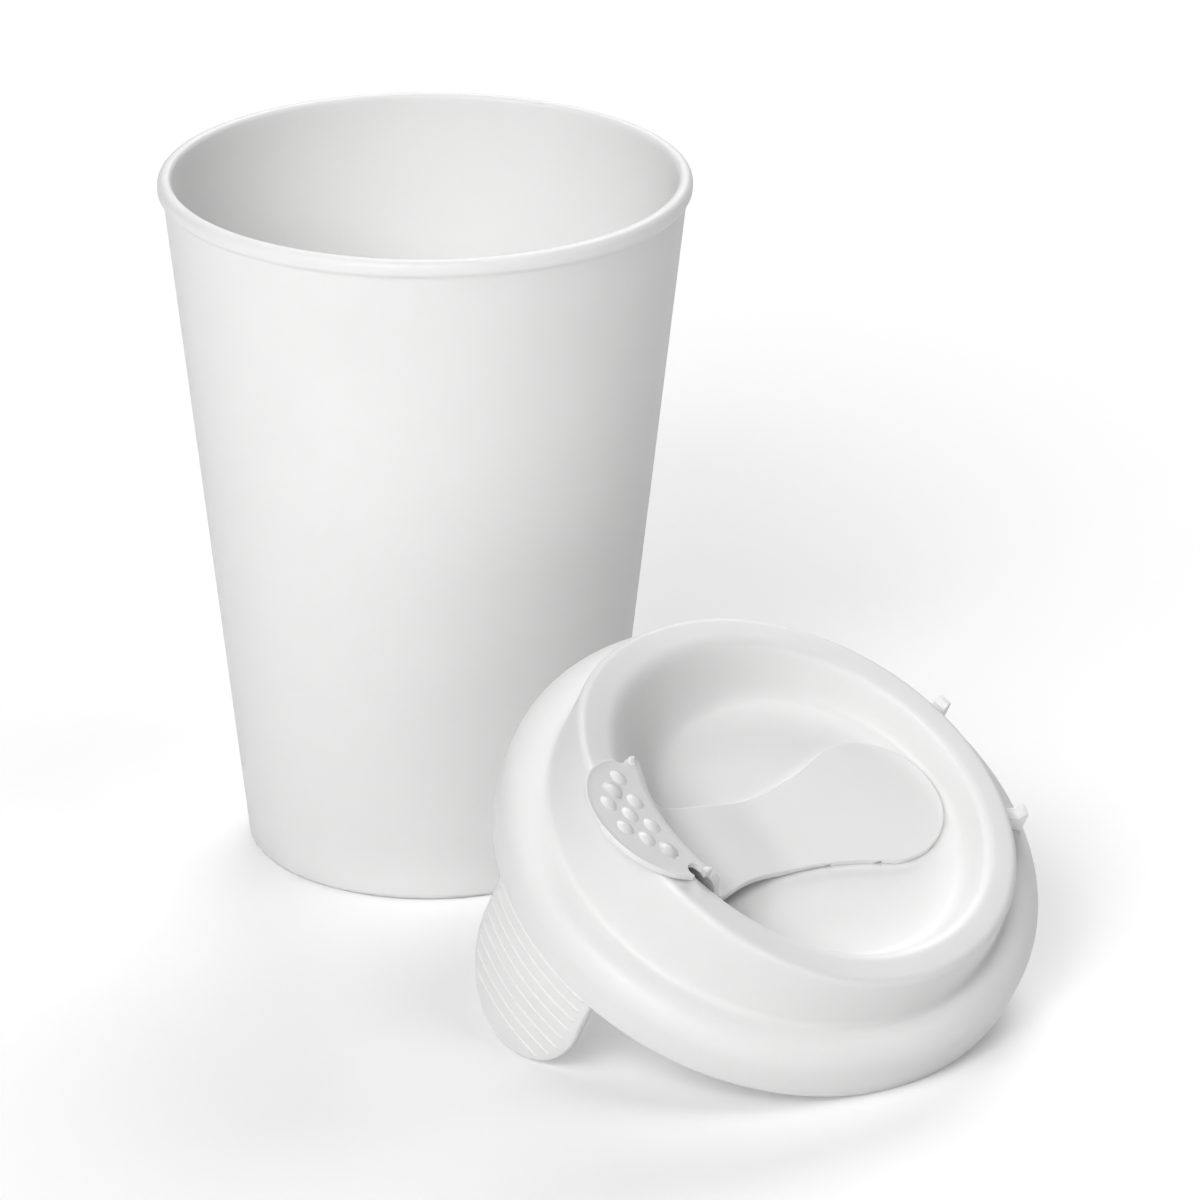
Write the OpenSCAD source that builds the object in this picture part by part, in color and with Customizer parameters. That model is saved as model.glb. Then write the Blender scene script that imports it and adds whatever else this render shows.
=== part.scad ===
// Reusable drinking cup with its lid taken off and leaning in front of it.
// Origin: middle of the ground that both cover, on the table. +Z is up and the viewer looks along +Y.

/* [Cup] */
// Height of the cup
cup_h = 120; // [90:1:160]
// Outer radius of the lip bead
bead_r = 45; // [41:0.5:48]
// How far the lip bead stands out from the wall
bead_out = 0.9; // [0.6:0.1:1.2]
// Height of the lip bead
bead_h = 2.9; // [2.6:0.1:3.6]
// Outer radius of the wall at the foot
foot_r = 31.2; // [26:0.2:34]
// Thickness of the cup's wall
cup_wall = 1.5; // [1.2:0.1:2.2]
// Rounding of the foot's outer edge
foot_round = 1.6; // [0.8:0.1:2.4]
// Depth of the recess under the cup's floor
foot_recess = 3.2; // [2:0.2:6]
// Thickness of the cup's floor
cup_floor = 2; // [1.4:0.1:3]
// Width of the foot ring at the table
foot_ring = 2.6; // [2:0.1:4]
// Number of drain notches in the foot ring
drain_count = 4; // [3:1:6]
// Radius of a drain notch
drain_r = 0.7; // [0.4:0.1:1.2]

/* [Lid shell] */
// Thickness of the skirt around the bead
skirt_wall = 0.9; // [0.8:0.1:1.4]
// Gap between the cup's bead and the skirt when the lid is on
snap_gap = 0.1; // [0.05:0.05:0.3]
// How far the snap lip reaches in under the bead
snap_in = 0.45; // [0.3:0.05:0.7]
// Height of the straight part of the skirt
skirt_h = 5.2; // [4.6:0.2:8]
// Rounding radius of the shoulder
shoulder_r = 4.6; // [3:0.2:5]
// Wall thickness of collar, rim and well
lid_wall = 1.4; // [1.1:0.1:1.8]
// Radius of the collar where it meets the shoulder
collar_foot_r = 39.5; // [38.5:0.5:40]
// Outer radius of the rim
rim_r = 38.9; // [38:0.1:39.3]
// Radius of the well at its mouth
mouth_r = 32.7; // [31:0.1:33.5]
// How far back the mouth's centre lies
mouth_back = 0.7; // [0:0.1:1.2]
// Radius of the well at its floor
floor_r = 27.8; // [26:0.1:28.5]
// How far back the floor's centre lies
floor_back = 5.5; // [3:0.1:5.8]
// Height of the well's floor above the skirt's edge
well_h = 9; // [8.6:0.1:10]
// Height of the rim over the middle of the lid
rim_h = 19.4; // [18.5:0.1:22]
// Slope of the whole rim, rise per run towards the drinking side
rim_slope = 0.09; // [0.05:0.01:0.1]
// Radius of the curve that lifts the drinking side
rise_r = 135; // [130:5:200]
// Rounding of the rim's outer edge
rim_round = 1.5; // [1:0.1:2]

/* [Pull tab and lugs] */
// Width of the pull tab
tab_w = 28; // [22:1:32]
// Length of the pull tab below the skirt's edge
tab_len = 23.3; // [18:0.1:26]
// Thickness of the pull tab
tab_t = 1.2; // [1:0.1:1.6]
// Number of raised ribs on the tab
rib_count = 8; // [4:1:9]
// Distance between two ribs
rib_pitch = 2.65; // [2.2:0.05:2.8]
// Width of a rib
rib_w = 0.5; // [0.4:0.1:0.8]
// Distance of each catch lug from the middle plane
lug_side = 12.4; // [11:0.1:13]
// Width of a catch lug
lug_w = 2.4; // [1.8:0.1:2.8]
// How far a catch lug reaches out from the collar
lug_len = 4.7; // [4:0.1:5]

/* [Flap] */
// Thickness of the closure strap
strap_t = 1.3; // [1:0.1:1.6]
// Radius of the strap's round lobe
lobe_r = 12.2; // [10:0.1:13]
// Distance of the lobe's centre behind the middle of the lid
lobe_back = 19.3; // [18:0.1:20]
// Distance of the living hinge behind the middle of the lid
hinge_back = 4.7; // [4:0.1:6]
// Half the strap's width at its waist
waist = 7.5; // [6:0.1:9]
// Radius of the thumb pad
pad_r = 12.5; // [11.5:0.1:13]
// Radius of a bump on the pad
bump_r = 1.6; // [1.2:0.1:1.9]
// Distance between bumps along a row
bump_pitch = 5.15; // [4.2:0.05:5.2]
// Gap between the moving flap and the lid
flap_gap = 0.3; // [0.25:0.05:0.4]
// Width of the drinking slot
slot_w = 10; // [8:0.5:12]
// Length of the drinking slot across the rim
slot_l = 3.8; // [3.4:0.1:4]
// Radius of the anchor's stud
stud_r = 2.4; // [1.8:0.1:3]

/* [Pose] */
// How far the lid leans
lean = 30.8; // [25:0.1:35]
// Direction in which the lid leans, from +X towards +Y
lean_dir = -56.4; // [-70:0.1:-40]
// Direction of the lid's drinking side
front_dir = -143.4; // [-150:0.1:-135]
// Place of the cup's axis along X
cup_x = -28.4; // [-40:0.1:-28]
// Place of the cup's axis along Y
cup_y = 35.2; // [35:0.1:45]
// Place of the middle of the lid's lower edge along X
lid_x = 27.7; // [27:0.1:40]
// Place of the middle of the lid's lower edge along Y
lid_y = -35; // [-45:0.1:-34]

/* [Hidden] */
$fn = 96;

// Small fixed details
bead_round = 1.2;
floor_fillet = 3;
lug_tip = 0.9;
lug_rise = 0.95;
lug_drop = 3.3;
seat_t = 2.5;
collar_drop = 0.4;
back_fillet = 1.6;
front_fillet = 5.2;
joint_fillet = 1.3;
under_fillet = 3.5;
mouth_round = 2;
hinge_slit = 0.06;
groove_r = 0.7;
groove_back = 13.6;
stud_fit = 0.05;
barb = 0.7;
pad_t = 1.2;
pad_border = 0.9;
pad_recess = 0.3;
pad_back = 0.3;
bump_h = 0.5;
row_pitch = 3.15;
first_row = 1.5;
riser_gap = 0.5;
plug_len = 1.9;
slot_deep = 3.4;
plug_fit = 0.4;
notch_r = 1.25;
notch_x = 29.9;
tooth_x = 28.4;
tooth_t = 1;
tooth_w = 1.5;
tooth_rise = 1.2;
bump_shift = 0.7;
sectors = 72;
big = 100;

// Cup
wall_top_r = bead_r - bead_out;
wall_top_h = cup_h - bead_h;
wall_lean = atan((wall_top_r - foot_r) / wall_top_h);
floor_h = foot_recess + cup_floor;

// Lid
skirt_r = bead_r + snap_gap + skirt_wall;
shoulder_h = skirt_h + shoulder_r;
seat_h = shoulder_h - seat_t;
groove_in_r = bead_r + snap_gap;
snap_h = seat_h - bead_h - 0.2;
mouth_x = mouth_r - mouth_back;
floor_x = floor_r - floor_back;

// Flap, in the plane of the pad's top
pad_x = mouth_x;
pad_rise = rim_slope + (mouth_x + rim_r - rim_round) / (2 * rise_r);
pad_tilt = atan(pad_rise);
pad_h = rim_top(pad_x) + (flap_gap + pad_t) / cos(pad_tilt);
strap_h = well_h + strap_t;
strap_lift = 2.2;
lift_from = 1;
lift_to = 14;
waist_x = 5;
// Radius of the pad's inner edge about the middle of the well's mouth
pad_edge = 30.8;
// A circle of this radius runs from the lobe into the waist
neck_r = (pow(lobe_back + waist_x, 2) + waist * waist - lobe_r * lobe_r) / (2 * (lobe_r - waist));
flare_r = 45;

function arc(centre, radius, from, to, steps = 8) =
    [for (i = [0:steps]) centre + radius * [cos(from + (to - from) * i / steps), sin(from + (to - from) * i / steps)]];

// A corner rounded from a to c around b
function bend(a, b, c, steps = 5) =
    [for (i = [0:steps]) let (t = i / steps) (1 - t) * (1 - t) * a + 2 * t * (1 - t) * b + t * t * c];

// Height of the rim's top at distance x from the middle, towards the drinking side
function rim_top(x) = rim_h + rim_slope * x + (x > 0 ? x * x / (2 * rise_r) : 0);

// Distance from the lid's middle to a circle whose centre lies back from it, in direction a
function reach(back, radius, a) = -back * cos(a) + sqrt(radius * radius - pow(back * sin(a), 2));

// Places the lid and what is on it: drinking side forward, leaning, its low edge on the table
module lid_pose() {
    translate([lid_x, lid_y, skirt_r * sin(lean)])
        rotate(a = lean, v = [-sin(lean_dir), cos(lean_dir), 0])
            rotate([0, 0, front_dir])
                children();
}

// Places a shape on the pad's top plane, over the well's mouth
module pad_pose() {
    translate([pad_x, 0, pad_h])
        rotate([0, -pad_tilt, 0])
            children();
}

module cup_outline() {
    wall_r = function (z) foot_r + z * tan(wall_lean);
    inner_top_r = wall_top_r - cup_wall;
    fillet_h = floor_h + floor_fillet;
    fillet_r = wall_r(fillet_h) - cup_wall - floor_fillet / cos(wall_lean);
    polygon(concat(
        [[0, foot_recess], [foot_r - foot_ring - foot_recess * tan(wall_lean), foot_recess], [foot_r - foot_ring, 0]],
        arc([foot_r - foot_round, foot_round], foot_round, -90, -wall_lean),
        arc([bead_r - bead_out, wall_top_h + bead_out], bead_out, -90, 0),
        arc([bead_r - bead_round, cup_h - bead_round], bead_round, 0, 90),
        arc([inner_top_r + bead_out, cup_h - bead_out], bead_out, 90, 180),
        arc([fillet_r, fillet_h], floor_fillet, -wall_lean, -90),
        [[0, floor_h]]
    ));
}

module cup() {
    color("white")
        translate([cup_x, cup_y, 0])
            difference() {
                rotate_extrude() cup_outline();
                // Drain notches, half rounds across the foot ring
                for (i = [0:drain_count - 1])
                    rotate([0, 0, 45 + 360 / drain_count * i])
                        translate([foot_r - foot_ring - 1, 0, 0])
                            rotate([0, 90, 0])
                                cylinder(r = drain_r, h = foot_ring + 3, $fn = 32);
            }
}

// Skirt, shoulder and the groove that takes the cup's bead, around the lid's own axis
module skirt() {
    lip_r = groove_in_r - snap_in;
    // Middle of the collar's wall, where the shoulder ends inside it
    bury_r = collar_foot_r - lid_wall / 2;
    mouth_in_r = groove_in_r + 0.1;
    edge = 0.3;
    rotate_extrude()
        polygon(concat(
            [[mouth_in_r, 0]],
            arc([skirt_r - edge, edge], edge, -90, 0, 3),
            arc([skirt_r - shoulder_r, skirt_h], shoulder_r, 0, 90, 12),
            arc([bury_r + 0.4 + joint_fillet, shoulder_h + joint_fillet], joint_fillet, 270, 180, 6),
            [[bury_r, shoulder_h + joint_fillet], [bury_r, shoulder_h - lid_wall]],
            [[groove_in_r - 3.6, shoulder_h - lid_wall], [groove_in_r - 2.8, seat_h]],
            arc([groove_in_r - bead_round, seat_h - bead_round], bead_round, 90, 0),
            [[groove_in_r, snap_h + 0.5], [lip_r, snap_h], [lip_r, snap_h - 0.5], [mouth_in_r, snap_h - 2.8]]
        ));
}

// Section of the collar, rim and well in direction a, from the well's middle out and back underneath
function crown_section(a) =
    let (
        c = cos(a),
        well_at = reach(floor_back, floor_r, a),
        mouth_at = reach(mouth_back, mouth_r, a),
        foot_h = shoulder_h - lid_wall - collar_drop,
        low = function (t) [well_at + t, well_h - t],
        high = function (t) [mouth_at + t, rim_top(mouth_at * c) - t],
        wall = function (t, k) low(t) + (high(t) - low(t)) * k,
        top = function (r, t) [r, rim_top(r * c) - t],
        foot = function (t) [collar_foot_r - t, foot_h],
        edge = function (t) top(rim_r - t, t),
        side = function (t, k) edge(t) + (foot(t) - edge(t)) * k,
        round_k = rim_round / (edge(0)[1] - foot_h),
        // The fillet is small at the back, where it has to clear the flap's lobe
        fillet = back_fillet + (front_fillet - back_fillet) * pow((1 + c) / 2, 2)
    )
    concat(
        [low(0) - [9, 0]],
        bend(low(0) - [fillet, 0], low(0), wall(0, 0.36), 5),
        bend(wall(0, 0.84), high(0), top(mouth_at + mouth_round, 0), 4),
        bend(top(rim_r - rim_round, 0), edge(0), side(0, round_k), 4),
        [foot(0), foot(lid_wall)],
        bend(side(lid_wall, 0.12), edge(lid_wall), top(rim_r - lid_wall - 1, lid_wall), 2),
        bend(top(mouth_at + lid_wall + 0.6, lid_wall), high(lid_wall), wall(lid_wall, 0.88), 2),
        bend(wall(lid_wall, 0.26), low(lid_wall), low(lid_wall) - [under_fillet, 0], 3)
    );

// Collar, rim and well: one lofted shell whose rim rises to the drinking side
module crown() {
    sections = [for (i = [0:sectors - 1]) crown_section(360 * i / sectors)];
    count = len(sections[0]);
    points = concat(
        [for (i = [0:sectors - 1], p = sections[i])
            [p[0] * cos(360 * i / sectors), p[0] * sin(360 * i / sectors), p[1]]],
        [[-floor_back, 0, well_h], [-floor_back, 0, well_h - lid_wall]]
    );
    at = function (i, j) (i % sectors) * count + j;
    over = sectors * count;
    under = over + 1;
    faces = concat(
        [for (i = [0:sectors - 1], j = [0:count - 2]) [at(i, j), at(i + 1, j + 1), at(i, j + 1)]],
        [for (i = [0:sectors - 1], j = [0:count - 2]) [at(i, j), at(i + 1, j), at(i + 1, j + 1)]],
        [for (i = [0:sectors - 1]) [over, at(i + 1, 0), at(i, 0)]],
        [for (i = [0:sectors - 1]) [under, at(i, count - 1), at(i + 1, count - 1)]]
    );
    polyhedron(points, faces);
}

// The tab's outline, seen from the drinking side
module tab_shape(inset = 0) {
    half = tab_w / 2 - inset;
    translate([-half, tab_w / 2 - tab_len])
        square([2 * half, tab_len - tab_w / 2 + skirt_h / 2 - inset]);
    translate([0, tab_w / 2 - tab_len])
        circle(r = half);
}

module tab_prism(inset = 0) {
    rotate([90, 0, 90])
        linear_extrude(big) tab_shape(inset);
}

// Pull tab, curved with the skirt, and its raised ribs
module pull_tab() {
    intersection() {
        translate([0, 0, -big / 2])
            difference() {
                cylinder(r = skirt_r, h = big);
                translate([0, 0, -1]) cylinder(r = skirt_r - tab_t, h = big + 2);
            }
        tab_prism();
    }
    intersection() {
        for (i = [0:rib_count - 1])
            translate([0, 0, -i * rib_pitch])
                rotate_extrude()
                    translate([skirt_r, 0]) circle(r = rib_w / 2, $fn = 24);
        tab_prism(1.2);
    }
}

// A catch lug: a rib up the collar's back wall, with a raised tip
module catch_lug(side) {
    root = rim_r - 0.7;
    end = rim_r + lug_len;
    top = rim_top(-rim_r) - lug_drop;
    rotate([0, 0, 180 - side * asin(lug_side / end)])
        rotate([90, 0, 0])
            translate([0, 0, -lug_w / 2])
                linear_extrude(lug_w)
                    polygon([
                        [root, shoulder_h - 0.5], [end, shoulder_h - 1.2], [end, top + lug_rise],
                        [end - lug_tip, top + lug_rise], [end - lug_tip - 0.5, top], [root, top]
                    ]);
}

// A slot with round ends across the rim, grown by extra all round
module slot_shape(extra = 0) {
    end_r = slot_l / 2;
    span = slot_w - slot_l;
    square([slot_l + 2 * extra, span], center = true);
    for (side = [-1, 1])
        translate([0, side * span / 2]) circle(r = end_r + extra);
}

// Places the drinking slot and its plug in the pad's plane, midway across the rim
module slot_pose() {
    pad_pose()
        translate([(rim_r - rim_round / 2 - pad_x) / cos(pad_tilt) / 2, 0, 0])
            children();
}

module lid() {
    color("white")
        lid_pose()
            difference() {
                union() {
                    skirt();
                    crown();
                    pull_tab();
                    for (side = [-1, 1]) catch_lug(side);
                }
                slot_pose()
                    translate([0, 0, -slot_deep]) linear_extrude(slot_deep) slot_shape();
                translate([-lobe_back, 0, well_h - 5])
                    cylinder(r = stud_r + stud_fit, h = 10);
            }
}

// Half the strap's width at distance x from the middle
function strap_half(x) =
    x < waist_x ? waist + neck_r - sqrt(neck_r * neck_r - pow(x - waist_x, 2))
    : min(pad_r - 0.2, waist + flare_r - sqrt(flare_r * flare_r - pow(x - waist_x, 2)));

// The strap's outline from above, between two distances from the middle
module strap_plan(from, to) {
    steps = 24;
    xs = [for (i = [0:steps]) from + (to - from) * i / steps];
    polygon(concat(
        [for (x = xs) [x, -strap_half(x)]],
        [for (i = [0:steps]) let (x = xs[steps - i]) [x, strap_half(x)]]
    ));
}

// A groove across the strap's underside, half round
module underside_groove(back) {
    translate([-back, 0, well_h])
        rotate([90, 0, 0])
            cylinder(r = groove_r, h = 4 * lobe_r, center = true, $fn = 32);
}

module flap_anchor() {
    // The circle from the waist meets the lobe here
    meet_x = waist_x - (lobe_back + waist_x) * neck_r / (neck_r + lobe_r);
    color("white")
        lid_pose() {
            difference() {
                translate([0, 0, well_h])
                    linear_extrude(strap_t) {
                        translate([-lobe_back, 0]) circle(r = lobe_r);
                        strap_plan(meet_x, -hinge_back - hinge_slit);
                    }
                underside_groove(hinge_back);
                underside_groove(groove_back);
            }
            // The stud through the well's floor, and its barb
            translate([-lobe_back, 0, well_h - lid_wall - barb]) {
                cylinder(r = stud_r, h = lid_wall + barb + 0.2);
                cylinder(r1 = stud_r, r2 = stud_r + 0.6, h = barb);
            }
        }
}

// Height of the strap's top at distance x from the middle
function strap_top(x) =
    let (k = min(1, max(0, (x - lift_from) / (lift_to - lift_from))))
    strap_h + strap_lift * k * k * (3 - 2 * k);

// The strap from the side: flat at the hinge, rising clear of the well's floor
module strap_side(from, to) {
    steps = 16;
    xs = [for (i = [0:steps]) from + (to - from) * i / steps];
    polygon(concat(
        [for (i = [0:steps]) let (x = xs[steps - i]) [x, strap_top(x)]],
        [for (x = xs) [x, max(well_h + flap_gap, strap_top(x) - strap_t)]]
    ));
}

// The riser's section about the well's mouth: out of the strap and up along the well's wall
module riser_section() {
    foot_top = strap_h + strap_lift;
    foot_low = foot_top - strap_t;
    foot_out = floor_x + mouth_back - riser_gap;
    thick = 1.13 * strap_t;
    // Steeper than the well's wall, so that its top stands clear of the mouth's soft edge
    run = (pad_edge + thick - foot_out) / (pad_h - well_h);
    out_at = function (h) foot_out + (h - well_h) * run;
    end_h = pad_h + 2;
    start_r = lift_to + mouth_back + 1;
    polygon(concat(
        [[start_r, foot_low]],
        bend([out_at(foot_low) - 4.4, foot_low], [out_at(foot_low), foot_low], [out_at(foot_low + 3.6), foot_low + 3.6]),
        [[out_at(end_h), end_h], [out_at(end_h) - thick, end_h]],
        bend(
            [out_at(foot_top + 3) - thick, foot_top + 3],
            [out_at(foot_top) - thick, foot_top],
            [out_at(foot_top) - thick - 3.6, foot_top]
        ),
        [[start_r, foot_top]]
    ));
}

// Strap and riser, cut to the strap's outline, up to the underside of a plane
module strap_and_riser() {
    from = -hinge_back + hinge_slit;
    intersection() {
        union() {
            rotate([90, 0, 0])
                translate([0, 0, -big / 2])
                    linear_extrude(big) strap_side(from, lift_to + 4);
            translate([-mouth_back, 0, 0])
                rotate_extrude() riser_section();
        }
        linear_extrude(big) strap_plan(from, pad_x + 4);
    }
}

module bumps() {
    ball_r = (bump_r * bump_r + bump_h * bump_h) / (2 * bump_h);
    for (row = [0:2], i = [0:3 - row])
        translate([
            first_row + row * row_pitch, (i - (3 - row) / 2) * bump_pitch - bump_shift,
            bump_h - ball_r - pad_recess
        ])
            sphere(r = ball_r);
}

// The thumb pad: a tilted disc cut along the riser, with a raised border round its bumps
module pad() {
    difference() {
        pad_pose() translate([-pad_back, 0, -pad_t]) cylinder(r = pad_r, h = pad_t);
        translate([-mouth_back, 0, 0]) cylinder(r = pad_edge, h = big);
        difference() {
            pad_pose() translate([-pad_back, 0, -pad_recess]) cylinder(r = pad_r - pad_border, h = pad_t);
            translate([-mouth_back, 0, 0]) cylinder(r = pad_edge + pad_border, h = big);
        }
    }
    intersection() {
        pad_pose() bumps();
        pad_pose() translate([-pad_back, 0, -pad_t]) cylinder(r = pad_r, h = pad_t + bump_h);
    }
}

// Scoops in the pad's ends, beside the riser's ends
module tooth_notches() {
    for (side = [-1, 1])
        translate([notch_x, side * (pad_r - 0.3), pad_h - 4])
            cylinder(r = notch_r, h = 8);
}

// Catch teeth: small horns on the riser's ends
module teeth() {
    plane_h = pad_h + (tooth_x - pad_x) * pad_rise;
    for (side = [0, 1])
        mirror([0, side, 0])
            translate([tooth_x - tooth_t / 2, pad_r - 0.4, plane_h])
                rotate([90, 0, 90])
                    linear_extrude(tooth_t)
                        polygon([
                            [-tooth_w, -pad_t], [0, -pad_t], [0, tooth_rise], [-0.4, tooth_rise],
                            [0.5 - tooth_w, 0.3], [-tooth_w, 0]
                        ]);
}

module flap() {
    color("white")
        lid_pose()
            difference() {
                union() {
                    difference() {
                        strap_and_riser();
                        pad_pose() translate([-big / 2, -big / 2, 0]) cube(big);
                    }
                    pad();
                    teeth();
                    slot_pose()
                        translate([0, 0, -pad_t - plug_len])
                            linear_extrude(pad_t + plug_len - pad_recess - 0.1) slot_shape(-plug_fit);
                }
                underside_groove(hinge_back);
                tooth_notches();
            }
}

cup();
lid();
flap_anchor();
flap();
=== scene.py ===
"""Scene of a reusable drinking cup with its travel lid leaning in front of it.

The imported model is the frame. Smooth moulded shells take the place of its solids, the lid's flap
gets its living hinge, and every surface gets a moulded plastic finish.
"""
from __future__ import annotations

import logging
import math
from collections.abc import Callable, Sequence
from dataclasses import dataclass, field
from enum import Enum

import bpy
from mathutils import Matrix, Vector

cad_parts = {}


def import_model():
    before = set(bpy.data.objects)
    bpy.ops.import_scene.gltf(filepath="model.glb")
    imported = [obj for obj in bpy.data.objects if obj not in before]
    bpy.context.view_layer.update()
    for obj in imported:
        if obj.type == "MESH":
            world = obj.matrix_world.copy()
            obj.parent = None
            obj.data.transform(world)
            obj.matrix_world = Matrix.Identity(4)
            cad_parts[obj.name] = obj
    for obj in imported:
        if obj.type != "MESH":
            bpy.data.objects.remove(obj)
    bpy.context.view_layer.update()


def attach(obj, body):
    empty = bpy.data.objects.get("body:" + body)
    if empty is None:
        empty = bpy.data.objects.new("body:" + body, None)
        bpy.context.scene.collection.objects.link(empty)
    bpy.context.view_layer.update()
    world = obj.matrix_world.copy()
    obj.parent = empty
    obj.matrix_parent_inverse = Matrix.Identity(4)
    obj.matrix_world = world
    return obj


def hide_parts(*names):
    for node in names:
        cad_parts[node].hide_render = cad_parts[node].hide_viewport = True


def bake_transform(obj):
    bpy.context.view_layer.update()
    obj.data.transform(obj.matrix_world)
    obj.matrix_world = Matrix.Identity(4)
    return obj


LOG = logging.getLogger("cup_scene")
MM = 0.001
Point = tuple[float, float]
Section = Callable[[float], list[Point]]
SheetPoint = Callable[[int, int, int], tuple[float, float, float]]


class Body(Enum):
    """The rigid bodies that a piece can ride on."""

    CUP_AND_LID = "cup_and_lid"
    FLAP = "flap"


class Slot(Enum):
    """The record's finishes."""

    CUP = "cup_plastic"
    LID = "lid_plastic"
    FLAP = "flap_plastic"


def arc(centre: Point, radius: float, start: float, end: float, steps: int = 8) -> list[Point]:
    """Returns points of a circular arc.

    Args:
        centre: The arc's centre.
        radius: The arc's radius.
        start: The first angle in degrees.
        end: The last angle in degrees.
        steps: The number of chords.

    Returns:
        The points from start to end, both included.
    """
    angles = [math.radians(start + (end - start) * i / steps) for i in range(steps + 1)]
    return [(centre[0] + radius * math.cos(a), centre[1] + radius * math.sin(a)) for a in angles]


def bend(a: Point, b: Point, c: Point, steps: int = 8) -> list[Point]:
    """Returns points of a soft corner that runs from a to c around b.

    Args:
        a: Where the corner starts.
        b: The sharp corner that is rounded.
        c: Where the corner ends.
        steps: The number of chords.

    Returns:
        The points from a to c, both included.
    """
    points = []
    for i in range(steps + 1):
        t = i / steps
        points.append(tuple((1 - t) ** 2 * p + 2 * t * (1 - t) * q + t * t * r for p, q, r in zip(a, b, c)))
    return points


def between(a: Point, b: Point, k: float) -> Point:
    """Returns the point that lies the share k of the way from a to b."""
    return (a[0] + (b[0] - a[0]) * k, a[1] + (b[1] - a[1]) * k)


def ramp(x: float, low: float, high: float) -> float:
    """Returns 0 below low, 1 above high, and a soft step between them."""
    k = min(1.0, max(0.0, (x - low) / (high - low)))
    return k * k * (3 - 2 * k)


def blend_max(a: float, b: float, width: float) -> float:
    """Returns the larger of two heights, with a fillet where they come within width of each other."""
    return max(a, b) + max(width - abs(a - b), 0) ** 2 / (4 * width)


def reach(back: float, radius: float, turn: float) -> float:
    """Returns how far a circle whose centre lies back from the lid's middle is, in a direction.

    Args:
        back: The distance of the circle's centre behind the lid's middle.
        radius: The circle's radius.
        turn: The direction in radians, 0 towards the drinking side.

    Returns:
        The distance from the lid's middle to the circle.
    """
    return -back * math.cos(turn) + math.sqrt(radius**2 - (back * math.sin(turn)) ** 2)


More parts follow.
